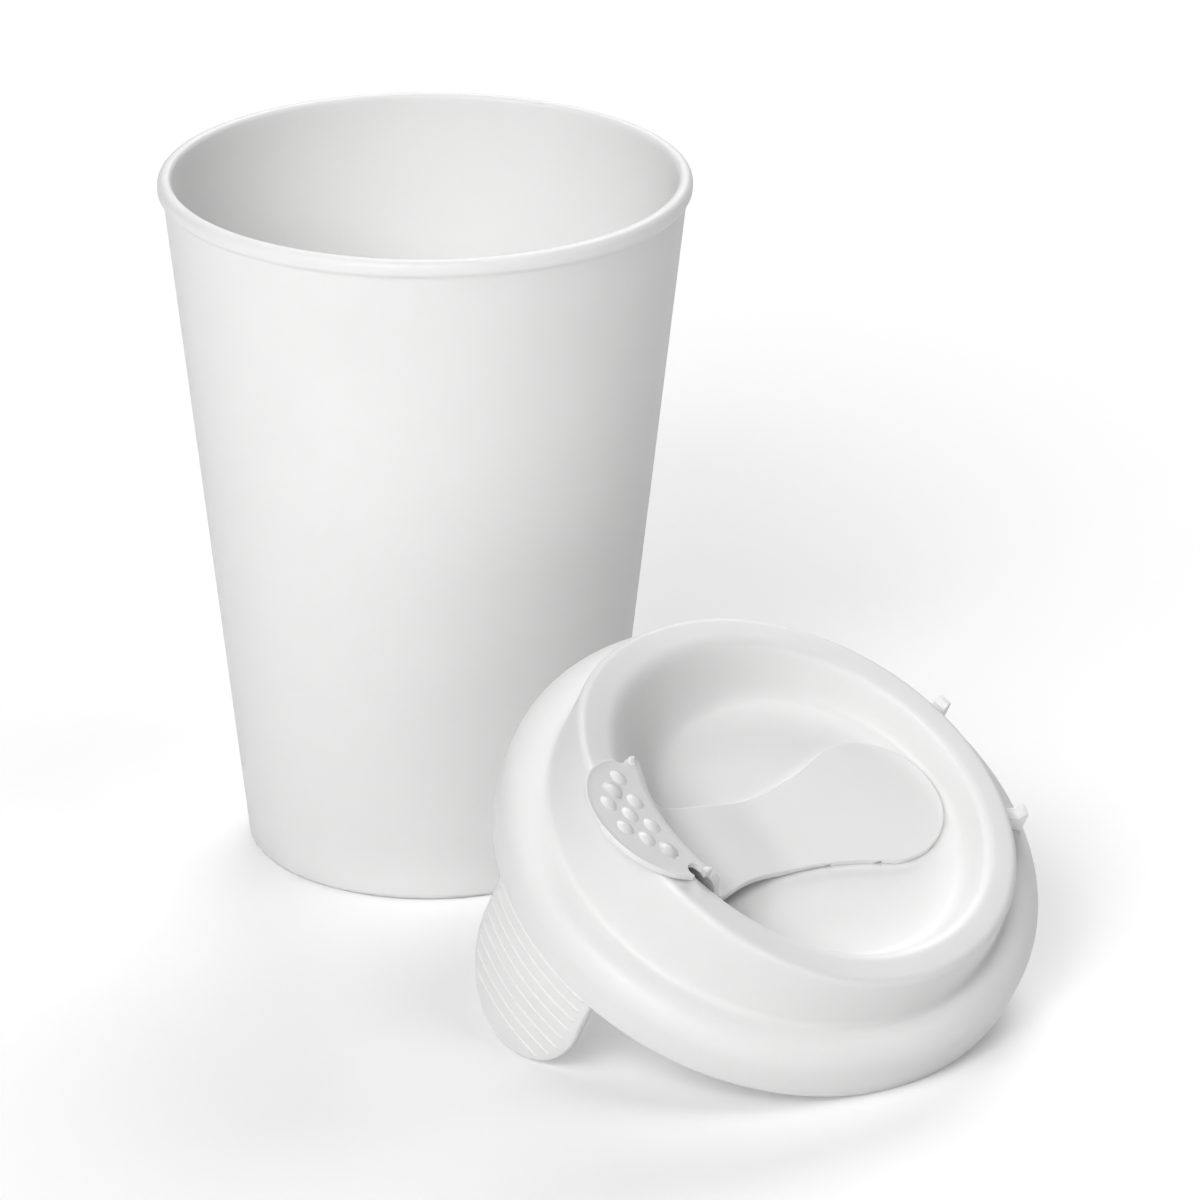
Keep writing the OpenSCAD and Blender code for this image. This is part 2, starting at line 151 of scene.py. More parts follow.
class Bench:
    """Holds one mesh object at a time and works on it with modelling operators."""

    @staticmethod
    def only(obj: bpy.types.Object) -> None:
        """Makes obj the only selected object, and the active one."""
        bpy.ops.object.select_all(action="DESELECT")
        obj.select_set(True)
        bpy.context.view_layer.objects.active = obj

    @classmethod
    def named(cls, name: str) -> bpy.types.Object:
        """Names the object that an operator just added, and returns it."""
        obj = bpy.context.view_layer.objects.active
        obj.name = name
        obj.data.name = name
        return obj

    @classmethod
    def apply(cls, obj: bpy.types.Object, kind: str, **settings: object) -> None:
        """Adds a modifier with its settings and applies it."""
        cls.only(obj)
        modifier = obj.modifiers.new(kind.title(), kind)
        for key, value in settings.items():
            setattr(modifier, key, value)
        bpy.ops.object.modifier_apply(modifier=modifier.name)

    @classmethod
    def cut(cls, obj: bpy.types.Object, tool: bpy.types.Object, how: str = "DIFFERENCE") -> None:
        """Cuts obj with a tool, or joins the two, and throws the tool away."""
        cls.apply(obj, "BOOLEAN", operation=how, solver="EXACT", object=tool)
        bpy.data.objects.remove(tool)

    @classmethod
    def place(cls, obj: bpy.types.Object, matrix: Matrix) -> None:
        """Moves the mesh itself, so that the object stays at the origin."""
        cls.only(obj)
        obj.matrix_world = matrix
        bpy.ops.object.transform_apply(location=True, rotation=True, scale=True)

    @classmethod
    def smooth(cls, obj: bpy.types.Object, degrees: float = 34) -> None:
        """Merges doubles, points the faces outwards and shades all but the sharp edges smooth."""
        cls.only(obj)
        bpy.ops.object.mode_set(mode="EDIT")
        bpy.ops.mesh.select_all(action="SELECT")
        bpy.ops.mesh.remove_doubles(threshold=1e-6)
        bpy.ops.mesh.normals_make_consistent(inside=False)
        bpy.ops.object.mode_set(mode="OBJECT")
        bpy.ops.object.shade_smooth_by_angle(angle=math.radians(degrees))

    @classmethod
    def loft(cls, name: str, section: Section, sectors: int) -> bpy.types.Object:
        """Extrudes a circle ring by ring and lays each ring along a section that may vary round it.

        Args:
            name: The new object's name.
            section: Gives the section's points, in millimetres, for a direction in degrees.
                Its first and last points lie on the axis.
            sectors: The number of directions.

        Returns:
            The closed shell, in metres.
        """
        step = 1.0
        count = len(section(0))
        bpy.ops.object.select_all(action="DESELECT")
        bpy.ops.mesh.primitive_circle_add(vertices=sectors, radius=1)
        obj = cls.named(name)
        bpy.ops.object.mode_set(mode="EDIT")
        bpy.ops.mesh.select_all(action="SELECT")
        for _ in range(count - 1):
            bpy.ops.mesh.extrude_region_move(TRANSFORM_OT_translate={"value": (0, 0, step)})
        bpy.ops.object.mode_set(mode="OBJECT")
        sections = {}
        for vertex in obj.data.vertices:
            x, y, z = vertex.co
            turn = round(math.degrees(math.atan2(y, x)) * sectors / 360) % sectors
            if turn not in sections:
                sections[turn] = section(360 * turn / sectors)
            radius, height = sections[turn][round(z / step)]
            angle = 2 * math.pi * turn / sectors
            vertex.co = (radius * math.cos(angle) * MM, radius * math.sin(angle) * MM, height * MM)
        cls.smooth(obj)
        return obj

    @classmethod
    def prism(cls, name: str, outline: Sequence[Point], depth: float, soften: float = 0) -> bpy.types.Object:
        """Fills a circle, lays its points along an outline and extrudes it upwards.

        Args:
            name: The new object's name.
            outline: The outline's points in millimetres, counter-clockwise.
            depth: The height of the prism in millimetres.
            soften: The width of the bevel on its edges in millimetres.

        Returns:
            The prism, its outline lying in the plane z = 0.
        """
        bpy.ops.object.select_all(action="DESELECT")
        bpy.ops.mesh.primitive_circle_add(vertices=len(outline), radius=1, fill_type="NGON")
        obj = cls.named(name)
        for vertex, point in zip(obj.data.vertices, outline):
            vertex.co = (point[0] * MM, point[1] * MM, 0)
        bpy.ops.object.mode_set(mode="EDIT")
        bpy.ops.mesh.select_all(action="SELECT")
        bpy.ops.mesh.extrude_region_move(TRANSFORM_OT_translate={"value": (0, 0, depth * MM)})
        bpy.ops.mesh.select_all(action="SELECT")
        bpy.ops.mesh.normals_make_consistent(inside=False)
        bpy.ops.object.mode_set(mode="OBJECT")
        if soften:
            cls.apply(obj, "BEVEL", width=soften * MM, segments=3, limit_method="ANGLE")
        return obj

    @classmethod
    def rod(
        cls, name: str, radius: float, depth: float, matrix: Matrix, flare: float = 0
    ) -> bpy.types.Object:
        """Adds a round bar, or a cone where it flares, that stands at the origin, and places it.

        Args:
            name: The new object's name.
            radius: Its radius at the foot in millimetres.
            depth: Its length in millimetres.
            matrix: Where it goes, in metres.
            flare: How much wider it is at the top, in millimetres.

        Returns:
            The bar.
        """
        bpy.ops.object.select_all(action="DESELECT")
        bpy.ops.mesh.primitive_cone_add(
            vertices=64, radius1=radius * MM, radius2=(radius + flare) * MM, depth=depth * MM,
            location=(0, 0, depth * MM / 2),
        )
        obj = cls.named(name)
        bpy.ops.object.transform_apply(location=True, rotation=True, scale=True)
        cls.place(obj, matrix)
        return obj

    @classmethod
    def sheet(cls, name: str, rows: int, columns: int, at: SheetPoint) -> bpy.types.Object:
        """Thickens a flat grid and lays its two sides along two surfaces.

        Args:
            name: The new object's name.
            rows: The number of steps along it.
            columns: The number of steps across it.
            at: Gives the place in millimetres of a row and column, on the top side (0) or underneath (1).

        Returns:
            The closed sheet, in metres.
        """
        bpy.ops.object.select_all(action="DESELECT")
        bpy.ops.mesh.primitive_grid_add(x_subdivisions=rows, y_subdivisions=columns, size=1)
        obj = cls.named(name)
        cls.apply(obj, "SOLIDIFY", thickness=0.1, offset=-1)
        for vertex in obj.data.vertices:
            x, y, z = vertex.co
            place = at(round((x + 0.5) * rows), round((y + 0.5) * columns), int(z < -0.05))
            vertex.co = Vector(place) * MM
        cls.smooth(obj)
        return obj


def shifted(x: float = 0, y: float = 0, z: float = 0) -> Matrix:
    """Returns a shift given in millimetres."""
    return Matrix.Translation(Vector((x, y, z)) * MM)


@dataclass(frozen=True)
class LidPose:
    """How the lid lies: leaning, its low edge on the table, its drinking side forward."""

    x: float = 27.7
    y: float = -35.0
    edge_radius: float = 46.0
    lean: float = math.radians(30.8)
    lean_turn: float = math.radians(-56.4)
    front_turn: float = math.radians(-143.4)

    def matrix(self) -> Matrix:
        """Returns the turn and shift from the lid's own axes to the scene's."""
        hinge_line = Vector((-math.sin(self.lean_turn), math.cos(self.lean_turn), 0))
        turn = Matrix.Rotation(self.lean, 4, hinge_line) @ Matrix.Rotation(self.front_turn, 4, "Z")
        return shifted(self.x, self.y, self.edge_radius * math.sin(self.lean)) @ turn


@dataclass(frozen=True)
class PadPlane:
    """The plane of the flap's pad, over the rim of the drinking side."""

    x: float = 32.0
    height: float = 27.66
    rise: float = 0.347

    def matrix(self) -> Matrix:
        """Returns the turn and shift from the plane's own axes to the lid's."""
        return shifted(self.x, 0, self.height) @ Matrix.Rotation(-math.atan(self.rise), 4, "Y")

    def at(self, x: float) -> float:
        """Returns the height of the plane at distance x from the lid's middle."""
        return self.height + self.rise * (x - self.x)


def stadium(length: float, width: float) -> list[Point]:
    """Returns a slot's outline: width across y, length across x, with round ends."""
    end = (width - length) / 2
    return arc((0, end), length / 2, 0, 180, 12) + arc((0, -end), length / 2, 180, 360, 12)


@dataclass
class CupShell:
    """The cup: a thin tapered wall with a rolled rim and a foot ring with drain notches."""

    x: float = -28.4
    y: float = 35.2
    height: float = 120.0
    bead_radius: float = 45.0
    bead_out: float = 0.9
    bead_height: float = 2.9
    bead_round: float = 1.2
    foot_radius: float = 31.2
    foot_round: float = 1.6
    foot_recess: float = 3.2
    foot_ring: float = 2.6
    floor: float = 2.0
    wall: float = 1.5
    fillet: float = 3.0
    drains: int = 4
    drain_radius: float = 0.7
    sectors: int = 180

    def section(self) -> list[Point]:
        """Returns the wall's section, from the middle of the underside round to the middle of the floor."""
        top = self.height - self.bead_height
        lean = math.atan((self.bead_radius - self.bead_out - self.foot_radius) / top)
        slant = math.tan(lean)
        lean_turn = math.degrees(lean)
        inner = self.bead_radius - self.bead_out - self.wall
        floor = self.foot_recess + self.floor
        fillet_h = floor + self.fillet
        fillet_r = self.foot_radius + fillet_h * slant - self.wall - self.fillet / math.cos(lean)
        recess = (self.foot_radius - self.foot_ring - self.foot_recess * slant, self.foot_recess)
        foot = arc((self.foot_radius - self.foot_round, self.foot_round), self.foot_round, -90, -lean_turn)
        neck = arc((self.bead_radius - self.bead_out, top + self.bead_out), self.bead_out, -90, 0)
        inside = arc((fillet_r, fillet_h), self.fillet, -lean_turn, -90)
        lip = arc((inner + self.bead_out, self.height - self.bead_out), self.bead_out, 90, 180)
        return [
            (0, self.foot_recess),
            *bend((recess[0] - 1, recess[1]), recess, (recess[0] + 0.3, recess[1] - 1), 4),
            (self.foot_radius - self.foot_ring, 0.3),
            (self.foot_radius - self.foot_ring + 0.3, 0),
            *foot,
            *(between(foot[-1], neck[0], k / 12) for k in range(1, 12)),
            *bend(between(neck[0], foot[-1], 0.008), neck[0], neck[2], 4),
            *neck[3:],
            *arc((self.bead_radius - self.bead_round, self.height - self.bead_round), self.bead_round, 0, 90),
            *lip,
            *(between(lip[-1], inside[0], k / 12) for k in range(1, 12)),
            *inside,
            (0, floor),
        ]

    def build(self) -> None:
        """Lofts the wall, cuts the drain notches and dresses the cup."""
        outline = self.section()
        cup = Bench.loft("cup_shell", lambda turn: outline, self.sectors)
        for i in range(self.drains):
            turn = Matrix.Rotation(math.radians(45 + 360 / self.drains * i), 4, "Z")
            across = turn @ Matrix.Rotation(math.pi / 2, 4, "Y")
            start = shifted(z=self.foot_radius - self.foot_ring - 1)
            Bench.cut(cup, Bench.rod("drain_cutter", self.drain_radius, self.foot_ring + 3, across @ start))
        Bench.smooth(cup)
        Bench.place(cup, shifted(self.x, self.y))
        finish_piece(cup, Body.CUP_AND_LID, Slot.CUP, CUP_FINISH, "cup")


@dataclass
class LidShell:
    """The lid in one moulding: skirt, shoulder, collar, rim, well, pull tab and catch lugs."""

    rim: float = 38.9
    rim_height: float = 19.4
    rim_slope: float = 0.09
    rise_radius: float = 135.0
    rim_round: float = 1.5
    wall: float = 1.4
    well_height: float = 9.0
    well_radius: float = 27.8
    well_back: float = 5.5
    mouth_radius: float = 32.7
    mouth_back: float = 0.7
    collar_foot: float = 39.5
    collar_foot_height: float = 8.0
    skirt_radius: float = 46.0
    skirt_height: float = 5.2
    shoulder_radius: float = 4.6
    joint_fillet: float = 1.3
    groove_radius: float = 45.1
    seat_height: float = 7.3
    slot_length: float = 3.8
    slot_width: float = 10.0
    slot_depth: float = 3.4
    slot_out: float = 3.25
    stud_hole: float = 2.45
    stud_back: float = 19.3
    lug_length: float = 4.7
    lug_width: float = 2.4
    lug_side: float = 12.4
    lug_drop: float = 3.3
    lug_rise: float = 0.95
    lug_tip: float = 0.9
    tab_width: float = 28.0
    tab_length: float = 23.3
    tab_wall: float = 1.2
    ribs: int = 8
    rib_pitch: float = 2.65
    rib_radius: float = 0.25
    rib_inset: float = 1.2
    sectors: int = 192

    def rim_top(self, x: float) -> float:
        """Returns the height of the rim's top at distance x from the middle, towards the drinking side."""
        return self.rim_height + self.rim_slope * x + max(x, 0) ** 2 / (2 * self.rise_radius)

    def section(self, degrees: float) -> list[Point]:
        """Returns the shell's section in one direction, from the well's middle out, round and back."""
        turn = math.radians(degrees)
        forward = math.cos(turn)
        well_at = reach(self.well_back, self.well_radius, turn)
        mouth_at = reach(self.mouth_back, self.mouth_radius, turn)

        def low(t: float, back: float = 0) -> Point:
            """The corner of the well's floor, or a place nearer the middle, t inside the shell."""
            return (well_at + t - back, self.well_height - t)

        def high(t: float) -> Point:
            """The corner of the well's mouth."""
            return (mouth_at + t, self.rim_top(mouth_at * forward) - t)

        def wall(t: float, k: float) -> Point:
            """A place on the well's wall."""
            return between(low(t), high(t), k)

        def top(r: float, t: float) -> Point:
            """A place on the rim's top."""
            return (r, self.rim_top(r * forward) - t)

        def edge(t: float) -> Point:
            """The rim's outer corner."""
            return top(self.rim - t, t)

        def side(t: float, k: float) -> Point:
            """A place on the collar's outer wall."""
            return between(edge(t), (self.collar_foot - t, self.collar_foot_height), k)

        shoulder = self.skirt_height + self.shoulder_radius
        fall = edge(0)[1] - self.collar_foot_height
        # The fillet is small at the back, where it has to clear the flap's lobe
        fillet = 1.6 + 3.6 * ((1 + forward) / 2) ** 2
        joint_top = shoulder + self.joint_fillet
        joint = arc((self.rim + 0.3 + self.joint_fillet, joint_top), self.joint_fillet, 180, 270, 6)
        shoulder_centre = (self.skirt_radius - self.shoulder_radius, self.skirt_height)
        round_shoulder = arc(shoulder_centre, self.shoulder_radius, 90, 0, 14)
        return [
            (0, self.well_height),
            *(low(0, back) for back in (17, 13, 9)),
            *bend(low(0, fillet), low(0), wall(0, 0.36)),
            wall(0, 0.52),
            wall(0, 0.68),
            *bend(wall(0, 0.84), high(0), top(mouth_at + 2, 0)),
            *bend(top(self.rim - self.rim_round, 0), edge(0), side(0, self.rim_round / fall)),
            *(between(side(0, self.rim_round / fall), joint[0], k / 5) for k in range(1, 5)),
            *joint,
            *round_shoulder,
            (self.skirt_radius, 3.6),
            (self.skirt_radius, 2),
            *arc((self.skirt_radius - 0.3, 0.3), 0.3, 0, -90, 4),
            (self.groove_radius + 0.1, 0),
            (self.groove_radius + 0.1, 1.4),
            (self.groove_radius - 0.45, 3.7),
            (self.groove_radius - 0.45, 4.2),
            (self.groove_radius, 4.7),
            *arc((self.groove_radius - 1.2, self.seat_height - 1.2), 1.2, 0, 90, 5),
            (self.groove_radius - 2.8, self.seat_height),
            (self.groove_radius - 3.6, shoulder - self.wall),
            (self.collar_foot - self.wall, shoulder - self.wall),
            side(self.wall, 0.8),
            side(self.wall, 0.5),
            *bend(side(self.wall, 0.12), edge(self.wall), top(self.rim - self.wall - 1, self.wall), 4),
            *bend(top(mouth_at + self.wall + 0.6, self.wall), high(self.wall), wall(self.wall, 0.88), 4),
            wall(self.wall, 0.56),
            *bend(wall(self.wall, 0.26), low(self.wall), low(self.wall, 3.5), 5),
            low(self.wall, 9),
            (0, self.well_height - self.wall),
        ]

    def lug(self, side: int) -> bpy.types.Object:
        """Returns a catch lug: a rib up the collar's back wall, with a raised tip."""
        root = self.rim - 0.7
        end = self.rim + self.lug_length
        top = self.rim_top(-self.rim) - self.lug_drop
        shoulder = self.skirt_height + self.shoulder_radius
        outline = [
            (root, shoulder - 0.5), (end, shoulder - 1.2), (end, top + self.lug_rise),
            (end - self.lug_tip, top + self.lug_rise), (end - self.lug_tip - 0.5, top), (root, top),
        ]
        lug = Bench.prism("lug", outline, self.lug_width, 0.1)
        turn = math.pi - side * math.asin(self.lug_side / end)
        upright = Matrix.Rotation(turn, 4, "Z") @ Matrix.Rotation(math.pi / 2, 4, "X")
        Bench.place(lug, upright @ shifted(z=-self.lug_width / 2))
        return lug

    def tab_rows(self) -> list[tuple[float, float]]:
        """Returns the tab's rows from the top down: their heights, and how far they stand out as a rib."""
        half = self.tab_width / 2
        bend_at = half - self.tab_length
        plain = [self.skirt_height / 2, 0.5, bend_at]
        plain += [bend_at - half * math.sin(math.radians(6 * i)) for i in range(1, 16)]
        rib = []
        for i in range(self.ribs):
            for k in range(-3, 4):
                turn = math.radians(30 * k)
                height = self.rib_radius * math.sin(turn) - i * self.rib_pitch
                rib.append((height, self.rib_radius * math.cos(turn)))
        clear = [h for h in plain if all(abs(h - y) > 0.15 for y, _ in rib)]
        return sorted([(h, 0.0) for h in clear] + rib, reverse=True)

    def tab(self) -> bpy.types.Object:
        """Returns the pull tab, curved with the skirt, with its raised ribs."""
        rows = self.tab_rows()
        half = self.tab_width / 2
        bend_at = half - self.tab_length
        ends = (0, 0.1, 0.3, self.rib_inset - 0.1, self.rib_inset + 0.1)
        inner = 14
        columns = 2 * len(ends) + inner - 1

        def at(row: int, column: int, under: int) -> tuple[float, float, float]:
            """The place of a row and column, on the tab's outer face or behind it."""
            height, rib = rows[row]
            wide = math.sqrt(max(half**2 - min(height - bend_at, 0) ** 2, 0))
            step = min(column, columns - column)
            inset = ends[min(step, len(ends) - 1)] * min(1, wide / 3)
            across = wide - inset
            if step >= len(ends):
                across *= 1 - 2 * (step - len(ends) + 1) / (inner + 1)
            across *= 1 if column > columns - column else -1
            out = self.skirt_radius - 0.02 * ramp(height, 0, 0.4) - self.tab_wall * under
            if not under and inset > self.rib_inset * 0.99:
                out += rib
            round_off = 0.3 - math.sqrt(max(0.09 - max(0.3 - inset, 0) ** 2, 0))
            out += round_off * (2 * under - 1)
            return (math.sqrt(out**2 - across**2), across, height)

        return Bench.sheet("tab", len(rows) - 1, columns, at)

    def build(self) -> None:
        """Lofts the shell, joins its tab and lugs, cuts its holes and dresses the lid."""
        lid = Bench.loft("lid_shell", self.section, self.sectors)
        for part in (self.lug(-1), self.lug(1), self.tab()):
            Bench.cut(lid, part, "UNION")
        slot = Bench.prism("slot_cutter", stadium(self.slot_length, self.slot_width), self.slot_depth + 3)
        Bench.place(slot, PadPlane().matrix() @ shifted(self.slot_out, 0, -self.slot_depth))
        Bench.cut(lid, slot)
        hole = shifted(-self.stud_back, 0, self.well_height - 5)
        Bench.cut(lid, Bench.rod("stud_cutter", self.stud_hole, 10, hole))
        Bench.smooth(lid)
        Bench.place(lid, LidPose().matrix())
        finish_piece(lid, Body.CUP_AND_LID, Slot.LID, LID_FINISH, "lid")


@dataclass
class FlapMoulding:
    """The flap in one moulding: anchor lobe, living hinge, strap, riser, thumb pad and plug."""

    lobe: float = 12.2
    lobe_back: float = 19.3
    waist: float = 7.5
    waist_x: float = 5.0
    flare: float = 45.0
    strap_top: float = 10.3
    strap_wall: float = 1.3
    strap_lift: float = 2.2
    lift_from: float = 1.0
    lift_to: float = 14.0
    well_height: float = 9.0
    hinge_back: float = 4.7
    hinge_reach: float = 0.5
    groove: float = 0.7
    groove_back: float = 13.6
    mouth_back: float = 0.7
    riser_foot: float = 22.5
    riser_wall: float = 1.47
    pad_edge: float = 30.8
    pad: float = 12.5
    pad_x: float = 31.7
    pad_wall: float = 1.27
    border: float = 0.55
    recess: float = 0.14
    bump: float = 1.6
    bump_height: float = 0.5
    bump_pitch: float = 5.15
    grip_shift: float = 0.85
    first_row: float = 1.5
    row_pitch: float = 3.15
    scoop: float = 1.6
    scoop_x: float = 30.55
    scoop_side: float = 12.3
    tooth_x: float = 28.4
    tooth_wide: float = 1.2
    tooth_thick: float = 1.0
    tooth_rise: float = 0.9
    plug_fit: float = 0.4
    plug_length: float = 1.9
    stud: float = 2.4
    barb: float = 0.7
    soft_edge: float = 0.18
    plane: PadPlane = field(default_factory=PadPlane)

    def half(self, x: float) -> float:
        """Returns half the outline's width at distance x from the lid's middle, short of the pad."""
        apart = self.lobe_back + self.waist_x
        neck = (apart**2 + self.waist**2 - self.lobe**2) / (2 * (self.lobe - self.waist))
        meet = self.waist_x - apart * neck / (neck + self.lobe)
        if x < meet:
            return math.sqrt(max(self.lobe**2 - (x + self.lobe_back) ** 2, 0))
        turn = neck if x < self.waist_x else self.flare
        return min(self.pad - 0.2, self.waist + turn - math.sqrt(turn**2 - (x - self.waist_x) ** 2))

    def along(self, row: float, across: float) -> float:
        """Returns where a row is at a distance across: straight on the strap, and an arc further on."""
        radius = row + self.mouth_back
        curved = math.sqrt(max(radius**2 - across**2, 0)) - self.mouth_back
        return row + (curved - row) * ramp(row, 4, 18)

    def row_half(self, row: float) -> float:
        """Returns half the width of a row."""
        if row > self.pad_edge - self.mouth_back:
            apart = self.pad_x + self.mouth_back
            radius = row + self.mouth_back
            middle = (radius**2 - self.pad**2 + apart**2) / (2 * apart)
            return math.sqrt(max(radius**2 - middle**2, 0))
        wide = self.half(row)
        for _ in range(8):
            wide = self.half(self.along(row, wide))
        return wide

    def rows(self) -> list[float]:
        """Returns the rows: close at the round ends, the hinge and the pad's inner edge."""
        def steps(a: float, b: float, count: int) -> list[float]:
            """Even steps from a, short of b."""
            return [a + (b - a) * i / count for i in range(count)]

        hinge = (-self.hinge_back - self.hinge_reach, -self.hinge_back + self.hinge_reach)
        edge = self.pad_edge - self.mouth_back
        end = self.pad_x + self.pad
        return [
            *(-self.lobe_back - self.lobe * math.cos(math.radians(90 * i / 18)) for i in range(18)),
            *steps(-self.lobe_back, hinge[0], 16),
            *steps(*hinge, 10),
            *steps(hinge[1], self.lift_from, 8),
            *steps(self.lift_from, self.lift_to, 18),
            *steps(self.lift_to, edge - 1.2, 34),
            *steps(edge - 1.2, edge + 0.6, 16),
            *(end + (edge + 0.6 - end) * (1 - math.sin(math.radians(90 * i / 26))) for i in range(27)),
        ]

    def height(self, x: float, across: float, under: int) -> float:
        """Returns the height of the moulding's top or underside, before its edges are softened."""
        lift = self.strap_lift * ramp(x, self.lift_from, self.lift_to)
        strap = self.strap_top + lift - self.strap_wall * under
        if under:
            strap = max(strap, self.well_height + 0.3 * ramp(x, -self.hinge_back, -self.hinge_back + 1.5))
        if x < self.waist_x:
            return strap
        run = (self.pad_edge + self.riser_wall - self.riser_foot) / (self.plane.height - self.well_height)
        radius = math.hypot(x + self.mouth_back, across)
        riser = self.well_height + (radius - self.riser_foot + self.riser_wall * (1 - under)) / run
        pad = self.plane.at(x) - self.pad_wall * under
        return -blend_max(-blend_max(strap, riser, 5.5), -pad, 1.6)

    def body(self) -> bpy.types.Object:
        """Returns the moulding's sheet: lobe, strap, riser and pad, with softened edges."""
        rows = self.rows()
        edge = self.pad_edge - self.mouth_back
        ends = (0, 0.03, 0.09, 0.18, 0.35, 0.45, 0.55, 0.65, 0.75)
        inner = 20
        columns = 2 * len(ends) + inner - 1

        def at(row: int, column: int, under: int) -> tuple[float, float, float]:
            """The place of a row and column, on the moulding's top or underneath."""
            wide = self.row_half(rows[row])
            step = min(column, columns - column)
            across = wide - ends[min(step, len(ends) - 1)] * min(1, wide / 2)
            if step >= len(ends):
                across *= 1 - 2 * (step - len(ends) + 1) / (inner + 1)
            across *= 1 if column > columns - column else -1
            x = self.along(rows[row], across)
            inset = wide - abs(across)
            if x < -self.lobe_back:
                inset = self.lobe - math.hypot(x + self.lobe_back, across)
            elif x > self.pad_x:
                inset = self.pad - math.hypot(x - self.pad_x, across)
            short = max(self.soft_edge - max(inset, 0), 0)
            drop = self.soft_edge - math.sqrt(self.soft_edge**2 - short**2)
            sunk = ramp(inset, self.border - 0.2, self.border + 0.2) * ramp(rows[row], edge - 1.2, edge + 0.2)
            top = self.height(x, across, under) - self.recess * sunk * (1 - under)
            return (x, across, top + drop * (2 * under - 1))

        return Bench.sheet("flap_moulding", len(rows) - 1, columns, at)

    def add_bumps(self, flap: bpy.types.Object) -> None:
        """Raises the rows of round grip bumps on the pad."""
        ball = (self.bump**2 + self.bump_height**2) / (2 * self.bump_height)
        for row in range(3):
            for i in range(4 - row):
                place = (
                    self.first_row + row * self.row_pitch,
                    (i - (3 - row) / 2) * self.bump_pitch - self.grip_shift,
                    -self.recess,
                )
                self.add_bump(flap, self.plane.matrix() @ shifted(*place), ball)

    def add_bump(self, flap: bpy.types.Object, place: Matrix, ball: float) -> None:
        """Adds one bump: the cap of a ball, cut off just below the pad's floor."""
        bpy.ops.object.select_all(action="DESELECT")
        bpy.ops.mesh.primitive_uv_sphere_add(segments=40, ring_count=64, radius=ball * MM)
        bump = Bench.named("bump")
        floor = ball - self.bump_height - 0.2
        bpy.ops.object.mode_set(mode="EDIT")
        bpy.ops.mesh.select_all(action="SELECT")
        bpy.ops.mesh.bisect(plane_co=(0, 0, floor * MM), plane_no=(0, 0, 1), use_fill=True, clear_inner=True)
        bpy.ops.object.mode_set(mode="OBJECT")
        Bench.place(bump, place @ shifted(z=self.bump_height - ball))
        Bench.cut(flap, bump, "UNION")

    def add_teeth(self, flap: bpy.types.Object) -> None:
        """Cuts the scoops in the pad's ends and raises the catch teeth on the riser's ends."""
        for side in (-1, 1):
            across = side * self.scoop_side - self.grip_shift
            place = shifted(self.scoop_x, across, self.plane.height - 4)
            Bench.cut(flap, Bench.rod("scoop_cutter", self.scoop, 8, place))
            wide = self.tooth_wide
            outline = [
                (-wide, -self.pad_wall), (0, -self.pad_wall), (0, self.tooth_rise), (-0.4, self.tooth_rise),
                (0.5 - wide, 0.3), (-wide, 0),
            ]
            if side < 0:
                outline = [(-x, y) for x, y in reversed(outline)]
            tooth = Bench.prism("tooth", outline, self.tooth_thick, 0.12)
            upright = Matrix.Rotation(math.pi / 2, 4, "Z") @ Matrix.Rotation(math.pi / 2, 4, "X")
            edge = side * (self.pad - 0.4)
            place = shifted(self.tooth_x - self.tooth_thick / 2, edge, self.plane.at(self.tooth_x))
            Bench.place(tooth, place @ upright)
            Bench.cut(flap, tooth, "UNION")

    def add_plug(self, flap: bpy.types.Object, lid: LidShell) -> None:
        """Adds the plug under the pad, and the barbed stud under the lobe."""
        outline = stadium(lid.slot_length - 2 * self.plug_fit, lid.slot_width - 2 * self.plug_fit)
        plug = Bench.prism("plug", outline, self.plug_length + 0.6, 0.25)
        place = shifted(lid.slot_out, 0, -self.pad_wall - self.plug_length)
        Bench.place(plug, self.plane.matrix() @ place)
        Bench.cut(flap, plug, "UNION")
        foot = shifted(-self.lobe_back, 0, self.well_height - lid.wall - self.barb)
        Bench.cut(flap, Bench.rod("stud", self.stud, lid.wall + self.barb + 0.4, foot), "UNION")
        Bench.cut(flap, Bench.rod("barb", self.stud, self.barb, foot, 0.6), "UNION")

    def build(self, lid: LidShell) -> None:
        """Shapes the moulding, cuts the grooves of its living hinge, lays it on the lid and dresses it."""
        flap = self.body()
        for back in (self.hinge_back, self.groove_back):
            place = shifted(-back, 2 * self.lobe, self.well_height) @ Matrix.Rotation(math.pi / 2, 4, "X")
            Bench.cut(flap, Bench.rod("groove_cutter", self.groove, 4 * self.lobe, place))
        self.add_bumps(flap)
        self.add_teeth(flap)
        self.add_plug(flap, lid)
        Bench.smooth(flap)
        pose = LidPose().matrix()
        Bench.place(flap, pose)
        hinge = [
            pose @ (Vector((-self.hinge_back + side * self.hinge_reach, 0, self.strap_top)) * MM)
            for side in (-1, 1)
        ]
        FLAP_FINISH.dress(flap)
        tuple(hinge[0])
        tuple(hinge[1])
        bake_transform(flap)
        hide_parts("flap_anchor", "flap")
        LOG.info("%s: %d faces, across the hinge", flap.name, len(flap.data.polygons))


